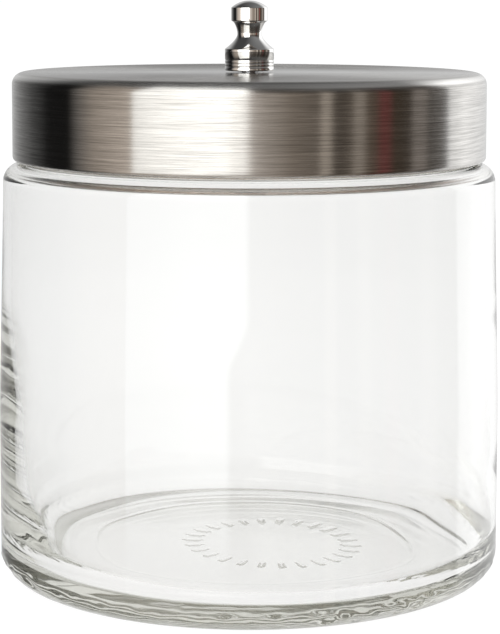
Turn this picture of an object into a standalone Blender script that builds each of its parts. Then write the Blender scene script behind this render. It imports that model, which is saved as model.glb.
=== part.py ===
"""Clear glass dressing jar with a lift-off stainless steel lid.

A thick-bottomed glass jar stands on a flat ring. A deep-drawn lid drops over
its neck, and a turned knob is held on the lid by a screw from below.
Metres, +Z up, with the jar's axis on Z and its base at Z = 0.
"""

import math

import bmesh
import bpy

MM = 0.001

# Round pieces
LARGE_STEPS = 64
SMALL_STEPS = 32
SHARP_ANGLE = math.radians(32)
WELD = 1e-5

# Glass jar, outside
JAR_RADIUS = 63.5 * MM
SHOULDER_RADIUS = 62.1 * MM
BASE_ROUNDING = 6.5 * MM
BEARING_INNER_RADIUS = 50.0 * MM
PUSH_UP = 1.0 * MM
PUSH_UP_STEPS = 5
SHOULDER_HEIGHT = 104.1 * MM
SHOULDER_ROUNDING = 4.3 * MM
WALL_TAPER_MIDDLE = 72.0 * MM
WALL_TAPER_END = 40.0 * MM
NECK_RADIUS = 56.5 * MM
NECK_FILLET = 1.2 * MM
RIM_HEIGHT = 125.9 * MM

# Glass jar, inside
FLOOR_HEIGHT = 5.0 * MM
FLOOR_RADIUS = 50.2 * MM
FLOOR_CORNER = 9.0 * MM
FLOOR_CORNER_END = -5
BORE_RADIUS = 60.9 * MM
BORE_TOP_RADIUS = 60.2 * MM
BORE_TAPER_END = 68.0 * MM
BORE_TAPER_PULL = 48.0 * MM
INNER_SHOULDER_HEIGHT = 100.8 * MM
INNER_SHOULDER_ROUNDING = 0.8 * MM
INNER_SHOULDER_TURN = 57
MOUTH_FILLET = 3.2 * MM
MOUTH_RADIUS = 52.9 * MM

# Raised ring of plain marks under the base
MARK_COUNT = 26
MARK_OFFSET = 5.0 * MM
MARK_RADIUS = 20.5 * MM
MARK_LENGTH = 3.4 * MM
MARK_WIDTH = 1.0 * MM
MARK_RELIEF = 0.6 * MM
MARK_ROOT = 0.5 * MM

# Lid
SHEET = 0.8 * MM
LID_RADIUS = 59.7 * MM
LID_TOP = 127.0 * MM
LID_CORNER = 3.0 * MM
HEM_BOTTOM = 105.0 * MM
HEM_RADIUS = 1.1 * MM
HEM_INNER_RADIUS = 0.3 * MM
HEM_LIP = 1.8 * MM
LID_HOLE_RADIUS = 2.3 * MM

# Knob
GAP = 0.3 * MM
KNOB_BASE_RADIUS = 6.2 * MM
KNOB_BASE_HEIGHT = 5.5 * MM
KNOB_NECK_RADIUS = 3.05 * MM
KNOB_NECK_LOW = 8.0 * MM
KNOB_NECK_HIGH = 10.4 * MM
KNOB_NECK_END_RADIUS = 3.25 * MM
KNOB_COVE_RADIUS = 3.75 * MM
KNOB_COVE_HEIGHT = 11.45 * MM
KNOB_HEAD_RADIUS = 4.6 * MM
KNOB_HEAD_LOW = 12.3 * MM
KNOB_HEAD_HIGH = 16.0 * MM
KNOB_HEIGHT = 17.6 * MM
KNOB_DOME_POINTS = 5
KNOB_FLARE_POINTS = 3
KNOB_FLARE_BEND = 1.15
KNOB_EDGE = 0.25 * MM
KNOB_FOOT_EDGE = 0.35 * MM
GROOVE_HEIGHTS = (1.1 * MM, 1.9 * MM, 2.7 * MM)
GROOVE_HALF_WIDTH = 0.18 * MM
GROOVE_DEPTH = 0.16 * MM
TAPPED_RADIUS = 2.15 * MM
TAPPED_DEPTH = 7.4 * MM
TAPPED_TIP = 1.1 * MM

# Screw and washers under the lid
WASHER_RADIUS = 5.0 * MM
WASHER_BORE = 2.25 * MM
WASHER_THICKNESS = 0.8 * MM
LOCK_WASHER_RADIUS = 3.8 * MM
LOCK_WASHER_THICKNESS = 0.9 * MM
LOCK_WASHER_SLIT = 0.7 * MM
LOCK_WASHER_SLANT = math.radians(25)
LOCK_WASHER_CUT_HEIGHT = 5.4 * MM
SHANK_RADIUS = 1.85 * MM
SHANK_LENGTH = 10.0 * MM
SHANK_CHAMFER = 0.4 * MM
HEAD_RADIUS = 3.9 * MM
HEAD_HEIGHT = 2.4 * MM
HEAD_SIDE = 1.0 * MM
HEAD_CROWN_RADIUS = 2.7 * MM
HEAD_CROWN_EDGE_RADIUS = 3.65 * MM
SOCKET_RADIUS = 1.44 * MM
SOCKET_DEPTH = 1.4 * MM


def clear_scene():
    for obj in list(bpy.data.objects):
        bpy.data.objects.remove(obj, do_unlink=True)


def new_collection(name):
    collection = bpy.data.collections.new(name)
    bpy.context.scene.collection.children.link(collection)
    return collection


def new_material(name, colour, roughness, metallic, transmission=0.0):
    material = bpy.data.materials.new(name)
    material.use_nodes = True
    shader = material.node_tree.nodes["Principled BSDF"]
    shader.inputs["Base Color"].default_value = (*colour, 1.0)
    shader.inputs["Roughness"].default_value = roughness
    shader.inputs["Metallic"].default_value = metallic
    shader.inputs["Transmission Weight"].default_value = transmission
    shader.inputs["IOR"].default_value = 1.5
    material.diffuse_color = (*colour, 1.0)
    return material


def arc(centre_x, centre_z, radius, start, end, count):
    """Profile points on an arc, from start to end in degrees, with 0 outwards and 90 up."""
    points = []
    for i in range(count + 1):
        angle = math.radians(start + (end - start) * i / count)
        points.append((centre_x + radius * math.cos(angle), centre_z + radius * math.sin(angle)))
    return points


def mesh_object(name, bm, material, collection):
    mesh = bpy.data.meshes.new(name)
    bm.to_mesh(mesh)
    bm.free()
    mesh.materials.append(material)
    obj = bpy.data.objects.new(name, mesh)
    collection.objects.link(obj)
    return obj


def apply_modifiers(obj):
    graph = bpy.context.evaluated_depsgraph_get()
    mesh = bpy.data.meshes.new_from_object(obj.evaluated_get(graph))
    obj.modifiers.clear()
    obj.data = mesh
    mesh.name = obj.name


def smooth(obj):
    obj.data.shade_smooth()
    obj.data.set_sharp_from_angle(angle=SHARP_ANGLE)


def turned(name, profile, steps, material, collection, closed=False):
    """A solid turned about Z from a profile that runs down its outer side."""
    bm = bmesh.new()
    verts = [bm.verts.new((x, 0.0, z)) for x, z in profile]
    for first, second in zip(verts, verts[1:]):
        bm.edges.new((first, second))
    if closed:
        bm.edges.new((verts[-1], verts[0]))
    obj = mesh_object(name, bm, material, collection)
    screw = obj.modifiers.new("turn", "SCREW")
    screw.axis = "Z"
    screw.angle = math.tau
    screw.steps = steps
    screw.render_steps = steps
    screw.use_merge_vertices = True
    screw.merge_threshold = WELD
    apply_modifiers(obj)
    smooth(obj)
    return obj


def boolean(obj, cutter, operation):
    cutter.hide_render = True
    cutter.display_type = "WIRE"
    modifier = obj.modifiers.new(operation.lower(), "BOOLEAN")
    modifier.operation = operation
    modifier.solver = "EXACT"
    modifier.object = cutter


def box_verts(bm, size, location, turn=0.0):
    """Adds a box of this size, turned about Z at the origin after it is moved out."""
    made = bmesh.ops.create_cube(bm, size=1.0)["verts"]
    bmesh.ops.scale(bm, vec=size, verts=made)
    bmesh.ops.translate(bm, vec=location, verts=made)
    c = math.cos(turn)
    s = math.sin(turn)
    for vert in made:
        x, y, z = vert.co
        vert.co = (c * x - s * y, s * x + c * y, z)


def curve(start, start_slope, end, end_slope, count):
    """Profile points on a smooth curve between two points, both left out, from the slope at each."""
    points = []
    for i in range(1, count):
        t = i / count
        from_start = 2 * t**3 - 3 * t**2 + 1
        along_start = t**3 - 2 * t**2 + t
        from_end = 3 * t**2 - 2 * t**3
        along_end = t**3 - t**2
        points.append(
            tuple(
                from_start * start[k]
                + along_start * start_slope[k]
                + from_end * end[k]
                + along_end * end_slope[k]
                for k in (0, 1)
            )
        )
    return points


def jar_inside():
    """The inside of the jar, from the middle of its floor up to the rim."""
    shoulder_x = BORE_TOP_RADIUS - INNER_SHOULDER_ROUNDING
    turn = math.radians(INNER_SHOULDER_TURN)
    inner_shoulder = arc(
        shoulder_x, INNER_SHOULDER_HEIGHT, INNER_SHOULDER_ROUNDING, 0, INNER_SHOULDER_TURN, 4
    )
    # a straight slope runs from the end of that arc to where the mouth's fillet touches it
    end_x, end_z = inner_shoulder[-1]
    fillet_x = MOUTH_RADIUS + MOUTH_FILLET
    touch_x = fillet_x - MOUTH_FILLET * math.cos(turn)
    fillet_z = end_z + (end_x - touch_x) / math.tan(turn) + MOUTH_FILLET * math.sin(turn)
    mouth_fillet = arc(fillet_x, fillet_z, MOUTH_FILLET, 180 + INNER_SHOULDER_TURN, 180, 4)
    corner_z = FLOOR_HEIGHT + FLOOR_CORNER
    floor_corner = arc(FLOOR_RADIUS, corner_z, FLOOR_CORNER, -90, FLOOR_CORNER_END, 6)
    lean = math.radians(-FLOOR_CORNER_END)
    corner_slope = (BORE_TAPER_PULL * math.sin(lean), BORE_TAPER_PULL * math.cos(lean))
    taper_end = (BORE_RADIUS, BORE_TAPER_END)
    taper = curve(floor_corner[-1], corner_slope, taper_end, (0.0, BORE_TAPER_PULL), 5)
    floor = [(0.0, FLOOR_HEIGHT)]
    return floor + floor_corner + taper + [taper_end] + inner_shoulder + mouth_fillet


def dish_height(radius):
    """Height of the shallow hollow under the base."""
    return PUSH_UP * (1 - (radius / BEARING_INNER_RADIUS) ** 2)


def jar_outside():
    """The outside of the jar, from the rim down to the middle of its underside."""
    rim_radius = (NECK_RADIUS - MOUTH_RADIUS) / 2
    rim = arc(MOUTH_RADIUS + rim_radius, RIM_HEIGHT - rim_radius, rim_radius, 180, 0, 8)
    neck_fillet = arc(
        NECK_RADIUS + NECK_FILLET, SHOULDER_HEIGHT + NECK_FILLET, NECK_FILLET, 180, 270, 3
    )
    shoulder = arc(
        SHOULDER_RADIUS - SHOULDER_ROUNDING,
        SHOULDER_HEIGHT - SHOULDER_ROUNDING,
        SHOULDER_ROUNDING,
        90,
        0,
        5,
    )
    wall = [
        (0.5 * (SHOULDER_RADIUS + JAR_RADIUS), WALL_TAPER_MIDDLE),
        (JAR_RADIUS, WALL_TAPER_END),
    ]
    base = arc(JAR_RADIUS - BASE_ROUNDING, BASE_ROUNDING, BASE_ROUNDING, 0, -90, 6)
    underside = []
    for i in range(PUSH_UP_STEPS + 1):
        radius = BEARING_INNER_RADIUS * (1 - i / PUSH_UP_STEPS)
        underside.append((radius, dish_height(radius)))
    return rim + neck_fillet + shoulder + wall + base + underside


def base_marks(material, cutters):
    """A ring of short radial bars under the base, a little off its centre."""
    bm = bmesh.new()
    size = (MARK_LENGTH, MARK_WIDTH, MARK_RELIEF + MARK_ROOT)
    location = (MARK_RADIUS, 0.0, dish_height(MARK_RADIUS) + (MARK_ROOT - MARK_RELIEF) / 2)
    for i in range(MARK_COUNT):
        box_verts(bm, size, location, math.tau * i / MARK_COUNT)
    marks = mesh_object("base_marks", bm, material, cutters)
    marks.location.x = MARK_OFFSET
    return marks


def make_jar(material, collection, cutters):
    jar = turned("glass_jar", jar_inside() + jar_outside(), LARGE_STEPS, material, collection)
    boolean(jar, base_marks(material, cutters), "UNION")
    return jar


def make_lid_shell(material, collection):
    """A drawn cap with a rolled hem, its hem's lowest point at the object's origin."""
    top = LID_TOP - HEM_BOTTOM
    wall_inner = LID_RADIUS - SHEET
    corner_x = LID_RADIUS - LID_CORNER
    corner_z = top - LID_CORNER
    hem_x = LID_RADIUS - HEM_RADIUS
    lip_x = LID_RADIUS - 2 * HEM_RADIUS
    lip_top = HEM_RADIUS + HEM_LIP
    profile = [(LID_HOLE_RADIUS, top)]
    profile += arc(corner_x, corner_z, LID_CORNER, 90, 0, 5)
    profile += arc(hem_x, HEM_RADIUS, HEM_RADIUS, 0, -180, 6)
    profile += [(lip_x, lip_top), (lip_x + SHEET, lip_top)]
    profile += arc(hem_x, HEM_RADIUS, HEM_INNER_RADIUS, 180, 360, 4)
    profile += arc(corner_x, corner_z, LID_CORNER - SHEET, 0, 90, 4)
    profile += [(LID_HOLE_RADIUS, top - SHEET)]
    assert abs(hem_x + HEM_INNER_RADIUS - wall_inner) < WELD
    return turned("lid_shell", profile, LARGE_STEPS, material, collection, closed=True)


def knob_flare(high, low, count, bend):
    """Points between two ends of a concave flare, each end left out."""
    points = []
    for i in range(1, count):
        t = i / count
        points.append((high[0] + (low[0] - high[0]) * t**bend, high[1] + (low[1] - high[1]) * t))
    return points


def make_knob(material, collection):
    """A turned knob, its flat foot at the object's origin."""
    dome = []
    for i in range(KNOB_DOME_POINTS):
        t = i / (KNOB_DOME_POINTS - 1)
        drop = (KNOB_HEIGHT - KNOB_HEAD_HIGH) * t**2
        dome.append(((KNOB_HEAD_RADIUS - KNOB_EDGE) * t, KNOB_HEIGHT - drop))
    head = [
        (KNOB_HEAD_RADIUS, KNOB_HEAD_HIGH - KNOB_EDGE),
        (KNOB_HEAD_RADIUS, KNOB_HEAD_LOW + KNOB_EDGE),
        (KNOB_HEAD_RADIUS - KNOB_EDGE, KNOB_HEAD_LOW),
    ]
    neck = [
        (KNOB_COVE_RADIUS, KNOB_COVE_HEIGHT),
        (KNOB_NECK_END_RADIUS, KNOB_NECK_HIGH),
        (KNOB_NECK_RADIUS, 0.5 * (KNOB_NECK_LOW + KNOB_NECK_HIGH)),
        (KNOB_NECK_END_RADIUS, KNOB_NECK_LOW),
    ]
    base_top = (KNOB_BASE_RADIUS - KNOB_EDGE, KNOB_BASE_HEIGHT)
    flare = knob_flare(neck[-1], base_top, KNOB_FLARE_POINTS, KNOB_FLARE_BEND)
    base = [base_top, (KNOB_BASE_RADIUS, KNOB_BASE_HEIGHT - KNOB_EDGE)]
    for height in reversed(GROOVE_HEIGHTS):
        base.append((KNOB_BASE_RADIUS, height + GROOVE_HALF_WIDTH))
        base.append((KNOB_BASE_RADIUS - GROOVE_DEPTH, height))
        base.append((KNOB_BASE_RADIUS, height - GROOVE_HALF_WIDTH))
    foot = [
        (KNOB_BASE_RADIUS, KNOB_FOOT_EDGE),
        (KNOB_BASE_RADIUS - KNOB_FOOT_EDGE, 0.0),
        (TAPPED_RADIUS, 0.0),
        (TAPPED_RADIUS, TAPPED_DEPTH),
        (0.0, TAPPED_DEPTH + TAPPED_TIP),
    ]
    profile = dome + head + neck + flare + base + foot
    return turned("lid_knob", profile, SMALL_STEPS, material, collection)


def washer_profile(radius, thickness):
    return [
        (WASHER_BORE, thickness),
        (radius, thickness),
        (radius, 0.0),
        (WASHER_BORE, 0.0),
    ]


def make_flat_washer(material, collection):
    profile = washer_profile(WASHER_RADIUS, WASHER_THICKNESS)
    return turned("knob_washer", profile, SMALL_STEPS, material, collection, closed=True)


def make_lock_washer(material, collection, cutters):
    """A spring washer, split by one slanted slit."""
    profile = washer_profile(LOCK_WASHER_RADIUS, LOCK_WASHER_THICKNESS)
    washer = turned("knob_lock_washer", profile, SMALL_STEPS, material, collection, closed=True)
    bm = bmesh.new()
    cut = (2 * LOCK_WASHER_RADIUS, LOCK_WASHER_SLIT, LOCK_WASHER_CUT_HEIGHT)
    box_verts(bm, cut, (LOCK_WASHER_RADIUS, 0.0, 0.0))
    slit = mesh_object("lock_washer_slit", bm, material, cutters)
    slit.parent = washer
    slit.location.z = LOCK_WASHER_THICKNESS / 2
    slit.rotation_euler = (LOCK_WASHER_SLANT, 0.0, 0.0)
    boolean(washer, slit, "DIFFERENCE")
    return washer


def make_screw(material, collection, cutters):
    """A pan-head screw pointing up, with the underside of its head at the origin."""
    profile = [
        (0.0, SHANK_LENGTH),
        (SHANK_RADIUS - SHANK_CHAMFER, SHANK_LENGTH),
        (SHANK_RADIUS, SHANK_LENGTH - SHANK_CHAMFER),
        (SHANK_RADIUS, 0.0),
        (HEAD_RADIUS, 0.0),
        (HEAD_RADIUS, -HEAD_SIDE),
        (HEAD_CROWN_EDGE_RADIUS, -0.5 * (HEAD_SIDE + HEAD_HEIGHT)),
        (HEAD_CROWN_RADIUS, -HEAD_HEIGHT),
        (0.0, -HEAD_HEIGHT),
    ]
    screw = turned("knob_screw", profile, SMALL_STEPS, material, collection)
    bm = bmesh.new()
    bmesh.ops.create_cone(
        bm,
        cap_ends=True,
        segments=6,
        radius1=SOCKET_RADIUS,
        radius2=SOCKET_RADIUS,
        depth=2 * SOCKET_DEPTH,
    )
    socket = mesh_object("screw_socket", bm, material, cutters)
    socket.parent = screw
    socket.location = (0.0, 0.0, -HEAD_HEIGHT)
    boolean(screw, socket, "DIFFERENCE")
    return screw


def main():
    clear_scene()
    collection = new_collection("dressing_jar")
    cutters = new_collection("cutters")

    glass = new_material("clear_glass", (0.95, 0.98, 0.97), 0.02, 0.0, transmission=1.0)
    brushed = new_material("brushed_stainless", (0.62, 0.60, 0.57), 0.32, 1.0)
    polished = new_material("polished_steel", (0.74, 0.73, 0.71), 0.12, 1.0)
    zinc = new_material("zinc_plated_steel", (0.58, 0.59, 0.60), 0.38, 1.0)

    make_jar(glass, collection, cutters)

    lid_axis = bpy.data.objects.new("lid_lift_axis", None)
    lid_axis.location = (0.0, 0.0, HEM_BOTTOM)
    collection.objects.link(lid_axis)

    shell = make_lid_shell(brushed, collection)
    knob = make_knob(polished, collection)
    washer = make_flat_washer(zinc, collection)
    lock_washer = make_lock_washer(zinc, collection, cutters)
    screw = make_screw(zinc, collection, cutters)

    washer_z = LID_TOP - SHEET - GAP - WASHER_THICKNESS
    lock_washer_z = washer_z - GAP - LOCK_WASHER_THICKNESS
    knob.location.z = LID_TOP + GAP - HEM_BOTTOM
    washer.location.z = washer_z - HEM_BOTTOM
    lock_washer.location.z = lock_washer_z - HEM_BOTTOM
    screw.location.z = lock_washer_z - GAP - HEM_BOTTOM
    for piece in (shell, knob, washer, lock_washer, screw):
        piece.parent = lid_axis


main()
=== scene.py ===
"""Looks of the dressing jar: a thick clear glass jar under a brushed steel lid with a turned knob.

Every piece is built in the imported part's frame (metres, +Z up, the jar standing on Z = 0), rides on
its body and stands in for its CAD node. The studio is a pale floor and a world of soft lights.
"""

import math

import bmesh
import bpy
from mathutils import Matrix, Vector, noise


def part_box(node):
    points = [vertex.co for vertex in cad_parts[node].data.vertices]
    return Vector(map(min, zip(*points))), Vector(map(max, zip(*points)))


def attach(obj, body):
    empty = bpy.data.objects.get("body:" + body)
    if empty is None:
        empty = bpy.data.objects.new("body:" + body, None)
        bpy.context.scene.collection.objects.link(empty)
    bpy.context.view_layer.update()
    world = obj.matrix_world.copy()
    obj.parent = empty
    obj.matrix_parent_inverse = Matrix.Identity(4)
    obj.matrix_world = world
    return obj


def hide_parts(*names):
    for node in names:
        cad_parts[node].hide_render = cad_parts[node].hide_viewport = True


MM = 0.001

# Camera, whose sensor is measured along the picture's long side
CAMERA_DISTANCE = 541.1 * MM
CAMERA_HEIGHT = 148.6 * MM
CAMERA_PITCH = math.radians(6.30)
CAMERA_ROLL = math.radians(-0.1)
CAMERA_LENS = 121.5
CAMERA_SENSOR = 36.0
CAMERA_SHIFT_X = 0.0007
CAMERA_SHIFT_Y = -0.15

# Turned meshes: the radius that counts as being on the axis, and the steps round it
ON_AXIS = 1e-7
JAR_STEPS = 384
LID_STEPS = 256
KNOB_STEPS = 96
UNDERSIDE_ROWS = 84

# Glass jar, outside
SHOULDER_RADIUS = 62.1 * MM
BASE_ROUNDING = 6.5 * MM
BASE_GRAIN = 0.4 * MM
BASE_GRAIN_LOW = 1.5 * MM
BASE_GRAIN_HIGH = 4.0 * MM
BASE_GRAIN_LEAST = 0.35
BEARING_INNER_RADIUS = 50.0 * MM
PUSH_UP = 1.0 * MM
RIDGE_RADIUS = 41.5 * MM
RIDGE_HALF_WIDTH = 0.9 * MM
RIDGE_RELIEF = 0.12 * MM
SHOULDER_HEIGHT = 104.1 * MM
SHOULDER_ROUNDING = 4.3 * MM
WALL_TAPER_END = 40.0 * MM
WALL_TAPER_PULL = 30.0 * MM
NECK_RADIUS = 56.5 * MM
NECK_FILLET = 1.2 * MM

# Glass jar, inside
FLOOR_HEIGHT = 5.0 * MM
FLOOR_RADIUS = 50.2 * MM
FLOOR_CORNER = 9.0 * MM
FLOOR_CORNER_END = -5
BORE_RADIUS = 60.9 * MM
BORE_TOP_RADIUS = 60.2 * MM
BORE_TAPER_END = 68.0 * MM
BORE_TAPER_PULL = 48.0 * MM
INNER_SHOULDER_HEIGHT = 100.8 * MM
INNER_SHOULDER_ROUNDING = 0.8 * MM
INNER_SHOULDER_TURN = 57
MOUTH_FILLET = 3.2 * MM
MOUTH_RADIUS = 52.9 * MM
MOUTH_TOP_GAP = 2.0 * MM

# How far the inside is off centre, low down and at the floor, and how uneven it is
HOLLOW_SHIFT = 1.4 * MM
HOLLOW_SHIFT_LOW = 24.0 * MM
HOLLOW_SHIFT_HIGH = 72.0 * MM
FLOOR_SHIFT = 1.5 * MM
FLOOR_SHIFT_END = 26.0 * MM
RIPPLE = 0.002 * MM
RIPPLE_RISE = 8.0 * MM
RIPPLE_FADE = 88.0 * MM
RIPPLE_END = 99.0 * MM
RIPPLE_LEAST_RADIUS = 20.0 * MM
FLOOR_DIP = 0.12 * MM
FLOOR_DIP_RISE = 5.0 * MM
FLOOR_DIP_RADIUS = 10.0 * MM

# How fast the noise of the uneven surfaces changes, in steps per metre
RIPPLE_SCALE = 16
RIPPLE_SCALE_Z = 300
RIPPLE_SLANT = 130
FLOOR_DIP_SCALE = 35
PATCH_SCALE = 95
GRAIN_SCALE = 330
GRAIN_SCALE_Z = 500

# Ring of plain marks under the base
MARK_COUNT = 26
MARK_OFFSET = 5.0 * MM
MARK_RADIUS = 20.5 * MM
MARK_HALF_LENGTH = 1.7 * MM
MARK_HALF_WIDTH = 0.3 * MM
MARK_RELIEF = 0.6 * MM
MARK_EDGE = 0.45 * MM

# Lid
SHEET = 0.8 * MM
LID_CORNER = 3.0 * MM
HEM_RADIUS = 1.1 * MM
HEM_INNER_RADIUS = 0.3 * MM
HEM_LIP = 1.8 * MM
LID_HOLE_RADIUS = 2.3 * MM
LID_DENT = 0.06 * MM
LID_DENT_MARGIN = 0.04 * MM
LID_DENT_SCALE = 2.2
LID_DENT_SCALE_Z = 25
LID_SHARP = math.radians(50)

# Knob, with its heights above its foot
KNOB_EDGE = 0.3 * MM
KNOB_HEAD_RADIUS = 4.6 * MM
KNOB_HEAD_LOW = 12.4 * MM
KNOB_HEAD_HIGH = 16.0 * MM
KNOB_DOME_POINTS = 12
KNOB_DOME_DROP = 1.5 * MM
KNOB_DOME_POWER = 2.2
KNOB_NECK_RADIUS = 3.05 * MM
KNOB_NECK_HEIGHT = 9.2 * MM
KNOB_BASE_HEIGHT = 5.6 * MM
KNOB_BORE_RADIUS = 2.15 * MM
KNOB_BORE_DEPTH = 7.4 * MM
KNOB_BORE_TIP = 8.5 * MM
KNOB_GROOVES = (2.7 * MM, 1.9 * MM, 1.1 * MM)
KNOB_GROOVE_RADIUS = 0.16 * MM
KNOB_GROOVE_OUT = 0.03 * MM
KNOB_SHARP = math.radians(60)

# Colours and other values of the materials. A pair is the range that a noise is spread over.
GLASS_TINT = (0.94, 0.941, 0.937, 1.0)
GLASS_DEPTH_TINT = (0.55, 0.555, 0.47, 1.0)
GLASS_DEPTH_DENSITY = 5.5
GLASS_IOR = 1.51
BRUSHED_DARK = (0.31, 0.302, 0.288, 1.0)
BRUSHED_LIGHT = (0.60, 0.588, 0.568, 1.0)
BRUSHED_ROUGHNESS = (0.17, 0.23)
BRUSHED_SMUDGE = (0.0, 0.05)
BRUSHED_FINE = (110.0, 7500.0)
BRUSHED_COARSE = (32.0, 2400.0)
BRUSHED_FINE_SHARE = 0.6
SPOT_RADII = (6 * MM, 36 * MM)
SPOT_ROUGHNESS = (0.3, 1.0)
# Painted reflection under the hem: its tan, the darker tan of the painted shade at the sides, and the
# span across in x over which that painted shade sets in
HEM_PAINTED_REFLECTION = (0.42, 0.33, 0.26, 1.0)
HEM_PAINTED_SHADE_ASIDE = (0.17, 0.125, 0.09, 1.0)
HEM_PAINTED_SHADE_SPAN = (12 * MM, 44 * MM)
# Painted light: the pale colour of the lid's inside, the same steel as its darker outside
LID_INSIDE_PAINTED_LIGHT = (0.84, 0.83, 0.81, 1.0)
POLISHED_DARK = (0.78, 0.775, 0.765, 1.0)
POLISHED_LIGHT = (0.9, 0.895, 0.885, 1.0)
POLISHED_ROUGHNESS = (0.02, 0.08)
POLISHED_TURNING = (40.0, 9000.0)
ZINC_DARK = (0.50, 0.51, 0.53, 1.0)
ZINC_LIGHT = (0.66, 0.67, 0.68, 1.0)
ZINC_ROUGHNESS = (0.28, 0.42)
FLOOR_DARK = (0.085, 0.085, 0.085, 1.0)
FLOOR_LIGHT = (0.105, 0.105, 0.105, 1.0)

# Studio floor, whose glow fades a little between two distances behind the jar, in metres
STUDIO_RADIUS = 60.0
STUDIO_DROP = 0.05 * MM
STUDIO_PLACES = (0.2, 0.8)
STUDIO_GLOW = (0.98, 0.935)

# Studio walls: azimuth in degrees, 0 towards the camera and positive to the right, light and warmth
WALLS = (
    (-180, 0.53, 0.0),
    (-165, 0.57, 0.0),
    (-146, 0.312, 0.0),
    (-128, 0.108, 0.0),
    (-112, 0.014, 0.1),
    (-95, 0.014, 0.1),
    (-89, 0.21, 0.5),
    (-78, 0.49, 1.0),
    (-58, 0.78, 0.9),
    (0, 0.82, 0.6),
    (7, 0.6, 0.8),
    (20, 0.31, 1.2),
    (42, 0.11, 1.3),
    (58, 0.15, 1.6),
    (70, 0.072, 2.2),
    (82, 0.06, 1.8),
    (104, 0.168, 0.6),
    (108, 0.228, 0.2),
    (111, 1.26, 0.0),
    (125, 1.65, 0.0),
    (140, 1.3, 0.0),
    (152, 1.05, 0.0),
    (166, 0.8, 0.0),
    (180, 0.53, 0.0),
)
# Strips on the right-hand wall: azimuth, half width and softness in degrees, and colour
STRIPS = (
    (36.5, 1.6, 2.2, (0.64, 0.56, 0.48, 1.0)),
    (53, 1.8, 2.6, (0.48, 0.42, 0.36, 1.0)),
    (67, 1.8, 3.4, (0.22, 0.07, 0.065, 1.0)),
    (88.5, 3.0, 4.0, (0.33, 0.29, 0.26, 1.0)),
)
# Where the right-hand wall darkens upwards: azimuth as above, elevations in degrees, and how much
UPPER_WALL = (50, 44, 8)
UPPER_WALL_RISE = (6.0, 22.0)
UPPER_WALL_SHARE = 0.75
UPPER_WALL_COLOUR = (0.03, 0.028, 0.026, 1.0)
# The soft box. Each pair is where an edge starts and ends, in degrees, but for the light's.
BOX_LEFT = (-57.5, -55.7)
BOX_RIGHT = (-2.4, 2.0)
BOX_STEP = (-7.3, -5.7)
BOX_STEP_AZIMUTHS = (-8.8, -0.5)
BOX_BOTTOM = (-17.0, -13.0)
BOX_TOP = (46.0, 52.0)
BOX_LIGHT_AZIMUTHS = (-56.0, -24.0)
BOX_LIGHT = (1.95, 2.95)
BOX_BLUE = 0.98
# The grey ceiling: its edge in degrees, and its light from left to right, by the direction's x
CEILING = (26.0, 50.0)
CEILING_PLACES = (-0.3, 0.8)
CEILING_LIGHT = (0.06, 0.28)
# How pale the walls look through the glass: what is lost high up, in degrees, and what is left in
# front, both from front to back by the direction's y
PALE = 0.8
PALE_HIGH = (28.0, 52.0)
PALE_HIGH_PLACES = (0.0, 0.4)
PALE_HIGH_LOSS = (0.55, 0.18)
PALE_FRONT_PLACES = (-0.3, 0.3)
PALE_FRONT_SHARE = (0.3, 1.0)
PALE_WALLS = (1.0, 1.0, 0.98, 1.0)
# What shows beside the jar
BACKDROP = (1.08, 1.08, 1.08, 1.0)


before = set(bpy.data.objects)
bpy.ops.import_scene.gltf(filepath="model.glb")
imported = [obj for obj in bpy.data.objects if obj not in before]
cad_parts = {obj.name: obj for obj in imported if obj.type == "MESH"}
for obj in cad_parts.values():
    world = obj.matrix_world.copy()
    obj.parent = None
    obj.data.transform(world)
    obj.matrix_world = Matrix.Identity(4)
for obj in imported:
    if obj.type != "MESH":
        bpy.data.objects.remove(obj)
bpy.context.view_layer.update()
scene = bpy.context.scene

_, jar_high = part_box("glass_jar")
shell_low, shell_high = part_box("lid_shell")
knob_low, knob_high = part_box("lid_knob")
JAR_RADIUS = jar_high.x
RIM_HEIGHT = jar_high.z
LID_RADIUS = shell_high.x
LID_TOP = shell_high.z
HEM_BOTTOM = shell_low.z


# ---------------------------------------------------------------- mesh helpers


def arc(centre_x, centre_z, radius, start, end, count):
    """Profile points on an arc, from start to end in degrees, with 0 outwards and 90 up."""
    points = []
    for i in range(count + 1):
        angle = math.radians(start + (end - start) * i / count)
        points.append((centre_x + radius * math.cos(angle), centre_z + radius * math.sin(angle)))
    return points


def line(start, end, count):
    """Points between two ends, both left out."""
    return [
        tuple(start[k] + (end[k] - start[k]) * i / count for k in (0, 1)) for i in range(1, count)
    ]


def curve(start, start_slope, end, end_slope, count):
    """Points on a smooth curve between two ends, both left out, from the slope at each."""
    points = []
    for i in range(1, count):
        t = i / count
        weights = (
            2 * t**3 - 3 * t**2 + 1,
            t**3 - 2 * t**2 + t,
            3 * t**2 - 2 * t**3,
            t**3 - t**2,
        )
        parts = (start, start_slope, end, end_slope)
        points.append(tuple(sum(w * p[k] for w, p in zip(weights, parts)) for k in (0, 1)))
    return points


def step(low, high, value):
    """0 below low, 1 above high, and a smooth rise between."""
    t = min(max((value - low) / (high - low), 0.0), 1.0)
    return t * t * (3 - 2 * t)


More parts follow.
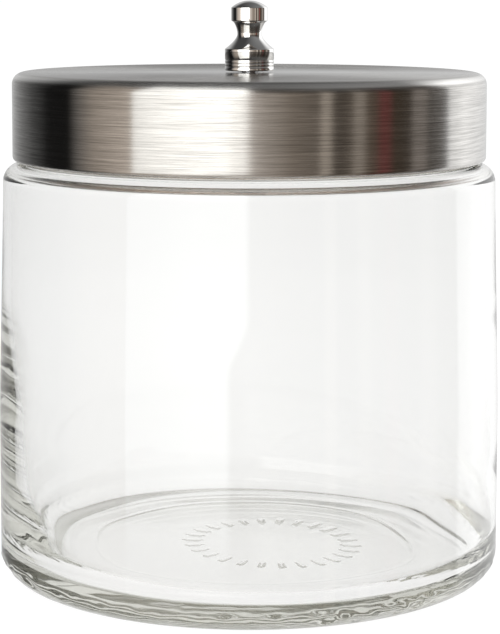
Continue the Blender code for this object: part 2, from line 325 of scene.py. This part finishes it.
def turned(name, profile, steps, material, closed=False, shape=None):
    """A mesh turned about Z. shape(x, y, z, i) may move each point, i being its place in the profile."""
    bm = bmesh.new()
    rings = []
    for i, (r, z) in enumerate(profile):
        ring = []
        for k in range(1 if r < ON_AXIS else steps):
            angle = math.tau * k / steps
            point = (r * math.cos(angle), r * math.sin(angle), z)
            if shape is not None:
                point = shape(*point, i)
            ring.append(bm.verts.new(point))
        rings.append(ring)
    pairs = list(zip(rings, rings[1:]))
    if closed:
        pairs.append((rings[-1], rings[0]))
    for upper, lower in pairs:
        for k in range(steps):
            corners = []
            for ring, at in ((upper, k), (lower, k), (lower, k + 1), (upper, k + 1)):
                vert = ring[at % len(ring)]
                if vert not in corners:
                    corners.append(vert)
            if len(corners) > 2:
                bm.faces.new(corners)
    bmesh.ops.recalc_face_normals(bm, faces=bm.faces)
    mesh = bpy.data.meshes.new(name)
    bm.to_mesh(mesh)
    bm.free()
    mesh.materials.append(material)
    mesh.shade_smooth()
    obj = bpy.data.objects.new(name, mesh)
    scene.collection.objects.link(obj)
    return obj


# ------------------------------------------------------------ material helpers


def new_material(name):
    material = bpy.data.materials.new(name)
    material.use_nodes = True
    tree = material.node_tree
    return material, tree, tree.nodes["Principled BSDF"]


def add(tree, kind, **inputs):
    """A node with its named inputs set, a socket being linked."""
    node = tree.nodes.new(kind)
    for key, value in inputs.items():
        socket = node.inputs[key.replace("_", " ")]
        if isinstance(value, bpy.types.NodeSocket):
            tree.links.new(value, socket)
        else:
            socket.default_value = value
    return node


def maths(tree, operation, *values):
    """The result of a Math node."""
    node = tree.nodes.new("ShaderNodeMath")
    node.operation = operation
    for i, value in enumerate(values):
        if isinstance(value, bpy.types.NodeSocket):
            tree.links.new(value, node.inputs[i])
        else:
            node.inputs[i].default_value = value
    return node.outputs[0]


def remap(tree, value, from_low, from_high, to_low=0.0, to_high=1.0, smooth=False):
    """The result of a clamped Map Range node."""
    node = tree.nodes.new("ShaderNodeMapRange")
    node.interpolation_type = "SMOOTHSTEP" if smooth else "LINEAR"
    tree.links.new(value, node.inputs["Value"])
    node.inputs["From Min"].default_value = from_low
    node.inputs["From Max"].default_value = from_high
    node.inputs["To Min"].default_value = to_low
    node.inputs["To Max"].default_value = to_high
    return node.outputs["Result"]


def mixed(tree, factor, first, second):
    """The colour result of a Mix node."""
    node = tree.nodes.new("ShaderNodeMix")
    node.data_type = "RGBA"
    for socket, value in ((node.inputs[0], factor), (node.inputs[6], first), (node.inputs[7], second)):
        if isinstance(value, bpy.types.NodeSocket):
            tree.links.new(value, socket)
        else:
            socket.default_value = value
    return node.outputs[2]


def noise_of(tree, vector, scale, detail=2.0, roughness=0.5):
    return add(
        tree,
        "ShaderNodeTexNoise",
        Vector=vector,
        Scale=scale,
        Detail=detail,
        Roughness=roughness,
    ).outputs["Fac"]


# ------------------------------------------------------------------- materials


def make_glass():
    material, tree, shader = new_material("clear_glass")
    shader.inputs["Base Color"].default_value = GLASS_TINT
    shader.inputs["Roughness"].default_value = 0.0
    shader.inputs["IOR"].default_value = GLASS_IOR
    shader.inputs["Transmission Weight"].default_value = 1.0
    absorb = tree.nodes.new("ShaderNodeVolumeAbsorption")
    absorb.inputs["Color"].default_value = GLASS_DEPTH_TINT
    absorb.inputs["Density"].default_value = GLASS_DEPTH_DENSITY
    output = tree.nodes["Material Output"]
    tree.links.new(absorb.outputs["Volume"], output.inputs["Volume"])
    return material


def radius_of(tree, parts):
    """The distance from Z."""
    x_square = maths(tree, "MULTIPLY", parts[0], parts[0])
    y_square = maths(tree, "MULTIPLY", parts[1], parts[1])
    return maths(tree, "SQRT", maths(tree, "ADD", x_square, y_square))


def brushing(tree, along, across):
    """A noise vector for fine lines round Z, and the object's own coordinates.

    The vector changes slowly round the piece and fast along its profile.
    """
    coords = add(tree, "ShaderNodeTexCoord").outputs["Object"]
    parts = add(tree, "ShaderNodeSeparateXYZ", Vector=coords).outputs
    profile = maths(tree, "SUBTRACT", radius_of(tree, parts), parts[2])
    vector = add(
        tree,
        "ShaderNodeCombineXYZ",
        X=maths(tree, "MULTIPLY", parts[0], along),
        Y=maths(tree, "MULTIPLY", parts[1], along),
        Z=maths(tree, "MULTIPLY", profile, across),
    )
    return vector.outputs[0], coords


def make_brushed():
    material, tree, shader = new_material("brushed_stainless")
    fine_vector, coords = brushing(tree, *BRUSHED_FINE)
    coarse_vector, _ = brushing(tree, *BRUSHED_COARSE)
    fine = noise_of(tree, fine_vector, 1.0, detail=3.0, roughness=0.6)
    coarse = noise_of(tree, coarse_vector, 1.0, detail=2.0)
    smudge = noise_of(tree, coords, 38.0, detail=4.0, roughness=0.62)
    fine = maths(tree, "MULTIPLY", fine, BRUSHED_FINE_SHARE)
    coarse = maths(tree, "MULTIPLY", coarse, 1.0 - BRUSHED_FINE_SHARE)
    lines = maths(tree, "ADD", fine, coarse)
    colour = mixed(tree, remap(tree, lines, 0.36, 0.64), BRUSHED_DARK, BRUSHED_LIGHT)
    # the underside of the hem is painted a duller, warmer tan, a painted reflection of the warm light
    # the glass shoulder shows there, and painted shade darkens it towards the sides
    parts = add(tree, "ShaderNodeSeparateXYZ", Vector=coords).outputs
    radius = radius_of(tree, parts)
    on_skirt = remap(tree, radius, LID_RADIUS - 0.6 * MM, LID_RADIUS - 0.3 * MM)
    above_hem = remap(tree, parts[2], HEM_BOTTOM + 4 * MM, HEM_BOTTOM + 8 * MM)
    clear_of_painted_reflection = maths(tree, "MAXIMUM", on_skirt, above_hem)
    painted_shade_aside = remap(tree, maths(tree, "ABSOLUTE", parts[0]), *HEM_PAINTED_SHADE_SPAN, smooth=True)
    tan = mixed(tree, painted_shade_aside, HEM_PAINTED_REFLECTION, HEM_PAINTED_SHADE_ASIDE)
    colour = mixed(tree, clear_of_painted_reflection, tan, colour)
    # and the underside of the top is painted bright, painted light on the same steel that is darker
    # outside
    on_top = remap(tree, parts[2], LID_TOP - 0.6 * MM, LID_TOP - 0.2 * MM)
    outside = maths(tree, "MAXIMUM", on_skirt, on_top)
    painted_light_inside = maths(tree, "MULTIPLY", above_hem, maths(tree, "SUBTRACT", 1.0, outside))
    colour = mixed(tree, painted_light_inside, colour, LID_INSIDE_PAINTED_LIGHT)
    tree.links.new(colour, shader.inputs["Base Color"])
    rough = maths(
        tree,
        "ADD",
        remap(tree, lines, 0.3, 0.7, *BRUSHED_ROUGHNESS),
        remap(tree, smudge, 0.45, 0.75, *BRUSHED_SMUDGE),
    )
    # smoother round the knob, where the brush turned on the spot
    outwards = remap(tree, radius, *SPOT_RADII, *SPOT_ROUGHNESS, smooth=True)
    rough = maths(tree, "MULTIPLY", rough, outwards)
    tree.links.new(rough, shader.inputs["Roughness"])
    shader.inputs["Metallic"].default_value = 1.0
    shader.inputs["Anisotropic"].default_value = 1.0
    shader.inputs["Anisotropic Rotation"].default_value = 0.25
    tangent = tree.nodes.new("ShaderNodeTangent")
    tangent.direction_type = "RADIAL"
    tangent.axis = "Z"
    tree.links.new(tangent.outputs[0], shader.inputs["Tangent"])
    bump = add(tree, "ShaderNodeBump", Strength=0.4, Distance=0.02 * MM, Height=lines)
    tree.links.new(bump.outputs[0], shader.inputs["Normal"])
    return material


def make_polished():
    material, tree, shader = new_material("polished_steel")
    vector, coords = brushing(tree, *POLISHED_TURNING)
    rings = noise_of(tree, vector, 1.0, detail=2.0)
    haze = noise_of(tree, coords, 420.0, detail=3.0)
    colour = mixed(tree, rings, POLISHED_DARK, POLISHED_LIGHT)
    tree.links.new(colour, shader.inputs["Base Color"])
    rough = remap(tree, haze, 0.35, 0.7, *POLISHED_ROUGHNESS)
    tree.links.new(rough, shader.inputs["Roughness"])
    shader.inputs["Metallic"].default_value = 1.0
    bump = add(tree, "ShaderNodeBump", Strength=0.12, Distance=0.01 * MM, Height=rings)
    tree.links.new(bump.outputs[0], shader.inputs["Normal"])
    return material


def make_zinc():
    material, tree, shader = new_material("zinc_plated_steel")
    coords = add(tree, "ShaderNodeTexCoord").outputs["Object"]
    patches = noise_of(tree, coords, 900.0, detail=4.0, roughness=0.6)
    colour = mixed(tree, patches, ZINC_DARK, ZINC_LIGHT)
    tree.links.new(colour, shader.inputs["Base Color"])
    rough = remap(tree, patches, 0.3, 0.7, *ZINC_ROUGHNESS)
    tree.links.new(rough, shader.inputs["Roughness"])
    shader.inputs["Metallic"].default_value = 1.0
    return material


def make_floor_material():
    material, tree, shader = new_material("pale_floor")
    coords = add(tree, "ShaderNodeTexCoord").outputs["Object"]
    grain = noise_of(tree, coords, 6.0, detail=3.0)
    colour = mixed(tree, grain, FLOOR_DARK, FLOOR_LIGHT)
    tree.links.new(colour, shader.inputs["Base Color"])
    shader.inputs["Emission Color"].default_value = (1.0, 1.0, 1.0, 1.0)
    parts = add(tree, "ShaderNodeSeparateXYZ", Vector=coords).outputs
    glow = remap(tree, parts[1], *STUDIO_PLACES, *STUDIO_GLOW, smooth=True)
    tree.links.new(glow, shader.inputs["Emission Strength"])
    shader.inputs["Roughness"].default_value = 1.0
    shader.inputs["Specular IOR Level"].default_value = 0.0
    return material


# ------------------------------------------------------------------- glass jar


def jar_inside():
    """The inside of the jar, from the middle of its floor up to the rim."""
    shoulder_x = BORE_TOP_RADIUS - INNER_SHOULDER_ROUNDING
    turn = math.radians(INNER_SHOULDER_TURN)
    inner_shoulder = arc(
        shoulder_x, INNER_SHOULDER_HEIGHT, INNER_SHOULDER_ROUNDING, 0, INNER_SHOULDER_TURN, 16
    )
    end_x, end_z = inner_shoulder[-1]
    fillet_x = MOUTH_RADIUS + MOUTH_FILLET
    touch_x = fillet_x - MOUTH_FILLET * math.cos(turn)
    fillet_z = end_z + (end_x - touch_x) / math.tan(turn) + MOUTH_FILLET * math.sin(turn)
    mouth_fillet = arc(fillet_x, fillet_z, MOUTH_FILLET, 180 + INNER_SHOULDER_TURN, 180, 12)
    corner_z = FLOOR_HEIGHT + FLOOR_CORNER
    floor_corner = arc(FLOOR_RADIUS, corner_z, FLOOR_CORNER, -90, FLOOR_CORNER_END, 24)
    lean = math.radians(-FLOOR_CORNER_END)
    corner_slope = (BORE_TAPER_PULL * math.sin(lean), BORE_TAPER_PULL * math.cos(lean))
    taper_end = (BORE_RADIUS, BORE_TAPER_END)
    taper = curve(floor_corner[-1], corner_slope, taper_end, (0.0, BORE_TAPER_PULL), 32)
    floor = [(0.0, FLOOR_HEIGHT)] + line((0.0, FLOOR_HEIGHT), floor_corner[0], 24)
    wall = line(taper_end, inner_shoulder[0], 16)
    mouth = line(mouth_fillet[-1], (MOUTH_RADIUS, RIM_HEIGHT - MOUTH_TOP_GAP), 6)
    return floor + floor_corner + taper + [taper_end] + wall + inner_shoulder + mouth_fillet + mouth


def jar_outside():
    """The outside of the jar, from the rim down to the middle of its underside."""
    rim_radius = (NECK_RADIUS - MOUTH_RADIUS) / 2
    rim = arc(MOUTH_RADIUS + rim_radius, RIM_HEIGHT - rim_radius, rim_radius, 180, 0, 16)
    neck_fillet = arc(
        NECK_RADIUS + NECK_FILLET, SHOULDER_HEIGHT + NECK_FILLET, NECK_FILLET, 180, 270, 8
    )
    shoulder = arc(
        SHOULDER_RADIUS - SHOULDER_ROUNDING,
        SHOULDER_HEIGHT - SHOULDER_ROUNDING,
        SHOULDER_ROUNDING,
        90,
        0,
        18,
    )
    taper_end = (JAR_RADIUS, WALL_TAPER_END)
    drop = (0.0, -WALL_TAPER_PULL)
    wall = curve(shoulder[-1], drop, taper_end, drop, 24) + [taper_end]
    base = arc(JAR_RADIUS - BASE_ROUNDING, BASE_ROUNDING, BASE_ROUNDING, 0, -90, 20)
    wall += line(taper_end, base[0], 14)
    ring_edge = (BEARING_INNER_RADIUS, 0.0)
    underside = line(base[-1], ring_edge, 16)
    for i in range(UNDERSIDE_ROWS + 1):
        radius = BEARING_INNER_RADIUS * (1 - i / UNDERSIDE_ROWS)
        underside.append((radius, dish_height(radius)))
    return rim + line(rim[-1], neck_fillet[0], 6) + neck_fillet + shoulder + wall + base + underside


def dish_height(radius):
    """Height of the shallow hollow under the base, with a faint ridge round it."""
    ridge = 1 - step(0.0, RIDGE_HALF_WIDTH, abs(radius - RIDGE_RADIUS))
    return PUSH_UP * (1 - (radius / BEARING_INNER_RADIUS) ** 2) - RIDGE_RELIEF * ridge


def mark_height(x, y):
    """How far the raised marks stand out of the underside at this point."""
    x -= MARK_OFFSET
    radius = math.hypot(x, y)
    out = 1 - step(MARK_HALF_LENGTH, MARK_HALF_LENGTH + MARK_EDGE, abs(radius - MARK_RADIUS))
    if out == 0:
        return 0.0
    turn = math.atan2(y, x) / math.tau * MARK_COUNT
    off = abs(turn - round(turn)) / MARK_COUNT * math.tau * MARK_RADIUS
    return MARK_RELIEF * out * (1 - step(MARK_HALF_WIDTH, MARK_HALF_WIDTH + MARK_EDGE, off))


def inside_point(x, y, z):
    """A point of the inside, which is a little off centre low down and gently rippled."""
    radius = math.hypot(x, y)
    low = 1 - step(HOLLOW_SHIFT_LOW, HOLLOW_SHIFT_HIGH, z)
    deep = 1 - step(FLOOR_HEIGHT, FLOOR_SHIFT_END, z)
    rise = step(FLOOR_HEIGHT, FLOOR_HEIGHT + RIPPLE_RISE, z)
    below_neck = 1 - step(RIPPLE_FADE, RIPPLE_END, z)
    x += (HOLLOW_SHIFT * low + FLOOR_SHIFT * deep) * min(radius / FLOOR_RADIUS, 1.0)
    slanted = z * RIPPLE_SCALE_Z + y * RIPPLE_SLANT
    ripple = noise.noise(Vector((x * RIPPLE_SCALE, y * RIPPLE_SCALE, slanted)))
    swell = 1 + RIPPLE * ripple * rise * below_neck / max(radius, RIPPLE_LEAST_RADIUS)
    x *= swell
    y *= swell
    if z < FLOOR_HEIGHT + FLOOR_DIP_RISE:
        dip = noise.noise(Vector((x * FLOOR_DIP_SCALE, y * FLOOR_DIP_SCALE, 4.0)))
        z += FLOOR_DIP * dip * step(0.0, FLOOR_DIP_RADIUS, radius)
    return (x, y, z)


def outside_point(x, y, z):
    """A point of the outside, with the mould's texture round the base and the marks under it."""
    radius = math.hypot(x, y)
    if radius > BEARING_INNER_RADIUS:
        if z >= BASE_ROUNDING:
            return (x, y, z)
        # the rounding under the wall was never polished and keeps its mould's texture
        patch = noise.noise(Vector((x * PATCH_SCALE, y * PATCH_SCALE, 1.5)))
        grain = noise.noise(Vector((x * GRAIN_SCALE, y * GRAIN_SCALE, z * GRAIN_SCALE_Z)))
        within = step(0.0, BASE_GRAIN_LOW, z) * (1 - step(BASE_GRAIN_HIGH, BASE_ROUNDING, z))
        depth = BASE_GRAIN_LEAST + step(-0.1, 0.4, patch)
        swell = 1 + BASE_GRAIN * grain * within * depth / radius
        return (x * swell, y * swell, z)
    if radius < RIDGE_RADIUS:
        z -= mark_height(x, y)
    return (x, y, z)


def make_jar(material):
    inside = jar_inside()
    count_inside = len(inside)
    profile = inside + jar_outside()

    def shape(x, y, z, i):
        if i < count_inside:
            return inside_point(x, y, z)
        return outside_point(x, y, z)

    jar = turned("jar_glass", profile, JAR_STEPS, material, shape=shape)
    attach(jar, "jar")
    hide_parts("glass_jar")


# ------------------------------------------------------------------------- lid


def make_lid(material):
    """The drawn cap with its rolled hem."""
    wall_inner = LID_RADIUS - SHEET
    corner_x = LID_RADIUS - LID_CORNER
    corner_z = LID_TOP - LID_CORNER
    hem_x = LID_RADIUS - HEM_RADIUS
    hem_z = HEM_BOTTOM + HEM_RADIUS
    lip_x = LID_RADIUS - 2 * HEM_RADIUS
    lip_top = hem_z + HEM_LIP
    outer_corner = arc(corner_x, corner_z, LID_CORNER, 90, 0, 16)
    hem = arc(hem_x, hem_z, HEM_RADIUS, 0, -180, 18)
    lip_radius = SHEET / 2
    lip = arc(lip_x + lip_radius, lip_top - lip_radius, lip_radius, 180, 0, 10)
    inner_hem = arc(hem_x, hem_z, HEM_INNER_RADIUS, 180, 360, 8)
    inner_corner = arc(corner_x, corner_z, LID_CORNER - SHEET, 0, 90, 10)
    hole_top = (LID_HOLE_RADIUS, LID_TOP)
    hole_low = (LID_HOLE_RADIUS, LID_TOP - SHEET)
    profile = [hole_top] + line(hole_top, outer_corner[0], 24)
    profile += outer_corner + line(outer_corner[-1], hem[0], 24) + hem
    profile += lip + inner_hem + line(inner_hem[-1], (wall_inner, corner_z), 12)
    profile += inner_corner + line(inner_corner[-1], hole_low, 16) + [hole_low]

    def shape(x, y, z, i):
        # the drawn sheet is a little uneven round the skirt
        angle = math.atan2(y, x)
        skirt = 1 - step(LID_TOP - LID_CORNER, LID_TOP, z)
        along = (math.cos(angle) * LID_DENT_SCALE, math.sin(angle) * LID_DENT_SCALE)
        dent = noise.noise(Vector((*along, z * LID_DENT_SCALE_Z)))
        swell = 1 + (LID_DENT * dent - LID_DENT_MARGIN) * skirt / LID_RADIUS
        return (x * swell, y * swell, z)

    lid = turned("lid_cap", profile, LID_STEPS, material, closed=True, shape=shape)
    lid.data.set_sharp_from_angle(angle=LID_SHARP)
    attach(lid, "lid")
    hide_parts("lid_shell")


def make_knob(material):
    """The turned knob, with three fine grooves round its foot."""
    foot_z = knob_low.z
    top = knob_high.z - foot_z
    head_x = KNOB_HEAD_RADIUS - KNOB_EDGE
    base_radius = knob_high.x
    base_x = base_radius - KNOB_EDGE
    dome = []
    for i in range(KNOB_DOME_POINTS):
        t = i / (KNOB_DOME_POINTS - 1)
        dome.append((head_x * t, top - KNOB_DOME_DROP * t**KNOB_DOME_POWER))
    head = arc(head_x, KNOB_HEAD_HIGH - KNOB_EDGE, KNOB_EDGE, 75, 0, 5)
    head += arc(head_x, KNOB_HEAD_LOW + KNOB_EDGE, KNOB_EDGE, 0, -75, 5)
    neck = (KNOB_NECK_RADIUS, KNOB_NECK_HEIGHT)
    cove = curve(head[-1], (-2.0 * MM, -0.4 * MM), neck, (0.0, -3.2 * MM), 12)
    base_top = arc(base_x, KNOB_BASE_HEIGHT - KNOB_EDGE, KNOB_EDGE, 55, 0, 5)
    flare = curve(neck, (0.0, -3.6 * MM), base_top[0], (2.4 * MM, -1.6 * MM), 14)
    profile = dome + head + cove + [neck] + flare + base_top
    for height in KNOB_GROOVES:
        profile += arc(base_radius + KNOB_GROOVE_OUT, height, KNOB_GROOVE_RADIUS, 110, 250, 6)
    profile += arc(base_x, KNOB_EDGE, KNOB_EDGE, 0, -90, 4)
    profile += [(KNOB_BORE_RADIUS, 0.0), (KNOB_BORE_RADIUS, KNOB_BORE_DEPTH), (0.0, KNOB_BORE_TIP)]
    profile = [(r, z + foot_z) for r, z in profile]
    knob = turned("knob", profile, KNOB_STEPS, material)
    knob.data.set_sharp_from_angle(angle=KNOB_SHARP)
    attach(knob, "lid")
    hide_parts("lid_knob")


# ---------------------------------------------------------------------- studio


def band(tree, azimuth, centre, half, soft):
    """1 within half of the centre azimuth, falling to 0 over soft."""
    away = maths(tree, "ABSOLUTE", maths(tree, "SUBTRACT", azimuth, float(centre)))
    return remap(tree, away, half, half + soft, 1.0, 0.0, smooth=True)


def wall_colour(tree, azimuth, elevation):
    """The walls all round, with strips on the right-hand one, which darkens upwards."""
    ramp = tree.nodes.new("ShaderNodeValToRGB")
    tree.links.new(remap(tree, azimuth, -180, 180), ramp.inputs["Fac"])
    elements = ramp.color_ramp.elements
    while len(elements) < len(WALLS):
        elements.new(0.5)
    for element, (angle, light, warm) in zip(elements, WALLS):
        element.position = (angle + 180) / 360
        red = light * (1 + 0.10 * warm)
        green = light * (1 - 0.05 * warm)
        blue = light * (1 - 0.18 * warm)
        element.color = (red, green, blue, 1.0)
    colour = ramp.outputs["Color"]
    for centre, half, soft, strip in STRIPS:
        colour = mixed(tree, band(tree, azimuth, centre, half, soft), colour, strip)
    upwards = remap(tree, elevation, *UPPER_WALL_RISE, 0.0, UPPER_WALL_SHARE, smooth=True)
    upper = maths(tree, "MULTIPLY", upwards, band(tree, azimuth, *UPPER_WALL))
    return mixed(tree, upper, colour, UPPER_WALL_COLOUR)


def soft_box(tree, azimuth, elevation):
    """Where the big soft box is, and its light. Its right edge is further in below."""
    left = remap(tree, azimuth, *BOX_LEFT, smooth=True)
    edge = remap(tree, elevation, *BOX_STEP, *BOX_STEP_AZIMUTHS, smooth=True)
    past = maths(tree, "SUBTRACT", azimuth, edge)
    right = remap(tree, past, *BOX_RIGHT, 1.0, 0.0, smooth=True)
    above = remap(tree, elevation, *BOX_BOTTOM, smooth=True)
    below_top = remap(tree, elevation, *BOX_TOP, 1.0, 0.0, smooth=True)
    across = maths(tree, "MULTIPLY", left, right)
    upright = maths(tree, "MULTIPLY", above, below_top)
    glow = remap(tree, azimuth, *BOX_LIGHT_AZIMUTHS, *BOX_LIGHT)
    blue = maths(tree, "MULTIPLY", glow, BOX_BLUE)
    light = add(tree, "ShaderNodeCombineXYZ", X=glow, Y=glow, Z=blue)
    return maths(tree, "MULTIPLY", across, upright), light.outputs[0]


def make_world():
    """A studio all round the jar, read from the direction: a soft box, dark and warm walls."""
    world = bpy.data.worlds.new("studio")
    world.use_nodes = True
    world.cycles.sampling_method = "NONE"
    scene.world = world
    tree = world.node_tree
    tree.nodes.clear()
    parts = add(
        tree,
        "ShaderNodeSeparateXYZ",
        Vector=add(tree, "ShaderNodeTexCoord").outputs["Generated"],
    ).outputs
    # azimuth in degrees, 0 towards the camera and positive to the right
    towards = maths(tree, "MULTIPLY", parts[1], -1.0)
    turn = maths(tree, "ARCTAN2", parts[0], towards)
    azimuth = maths(tree, "MULTIPLY", turn, 180 / math.pi)
    elevation = maths(tree, "MULTIPLY", maths(tree, "ARCSINE", parts[2]), 180 / math.pi)

    colour = wall_colour(tree, azimuth, elevation)
    in_box, box_colour = soft_box(tree, azimuth, elevation)
    colour = mixed(tree, in_box, colour, box_colour)

    # the ceiling is grey, paler to the right
    overhead = remap(tree, elevation, *CEILING, smooth=True)
    overhead = maths(tree, "MULTIPLY", overhead, maths(tree, "SUBTRACT", 1.0, in_box))
    grey = remap(tree, parts[0], *CEILING_PLACES, *CEILING_LIGHT)
    ceiling = add(tree, "ShaderNodeCombineXYZ", X=grey, Y=grey, Z=grey).outputs[0]
    colour = mixed(tree, overhead, colour, ceiling)

    # seen through the glass the walls are paler, above all behind the jar
    rays = tree.nodes.new("ShaderNodeLightPath").outputs
    high = remap(tree, elevation, *PALE_HIGH, smooth=True)
    loss = remap(tree, parts[1], *PALE_HIGH_PLACES, *PALE_HIGH_LOSS, smooth=True)
    pale = maths(tree, "SUBTRACT", PALE, maths(tree, "MULTIPLY", high, loss))
    front = remap(tree, parts[1], *PALE_FRONT_PLACES, *PALE_FRONT_SHARE, smooth=True)
    pale = maths(tree, "MULTIPLY", pale, front)
    pale = maths(tree, "MULTIPLY", rays["Is Transmission Ray"], pale)
    colour = mixed(tree, pale, colour, PALE_WALLS)
    # and beside the jar the backdrop is plain
    plain = maths(tree, "MAXIMUM", rays["Is Camera Ray"], rays["Is Diffuse Ray"])
    colour = mixed(tree, plain, colour, BACKDROP)
    background = add(tree, "ShaderNodeBackground", Color=colour, Strength=1.0)
    output = tree.nodes.new("ShaderNodeOutputWorld")
    tree.links.new(background.outputs[0], output.inputs["Surface"])


def make_floor():
    bm = bmesh.new()
    bmesh.ops.create_circle(bm, cap_ends=True, segments=96, radius=STUDIO_RADIUS)
    mesh = bpy.data.meshes.new("floor")
    bm.to_mesh(mesh)
    bm.free()
    mesh.materials.append(make_floor_material())
    floor = bpy.data.objects.new("floor", mesh)
    floor.location.z = -STUDIO_DROP
    floor.visible_glossy = False
    scene.collection.objects.link(floor)


def make_camera():
    data = bpy.data.cameras.new("camera")
    data.lens = CAMERA_LENS
    data.sensor_width = CAMERA_SENSOR
    data.shift_x = CAMERA_SHIFT_X
    data.shift_y = CAMERA_SHIFT_Y
    camera = bpy.data.objects.new("camera", data)
    camera.location = (0.0, -CAMERA_DISTANCE, CAMERA_HEIGHT)
    camera.rotation_euler = (math.pi / 2 - CAMERA_PITCH, CAMERA_ROLL, 0.0)
    scene.collection.objects.link(camera)
    scene.camera = camera


scene.view_settings.view_transform = "Standard"
scene.cycles.max_bounces = 64
scene.cycles.transmission_bounces = 64
scene.cycles.glossy_bounces = 48

glass = make_glass()
brushed = make_brushed()
polished = make_polished()
zinc = make_zinc()

make_jar(glass)
make_lid(brushed)
make_knob(polished)
for node in ("knob_washer", "knob_lock_washer", "knob_screw"):
    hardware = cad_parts[node]
    hardware.data.materials.clear()
    hardware.data.materials.append(zinc)

make_world()
make_floor()
make_camera()
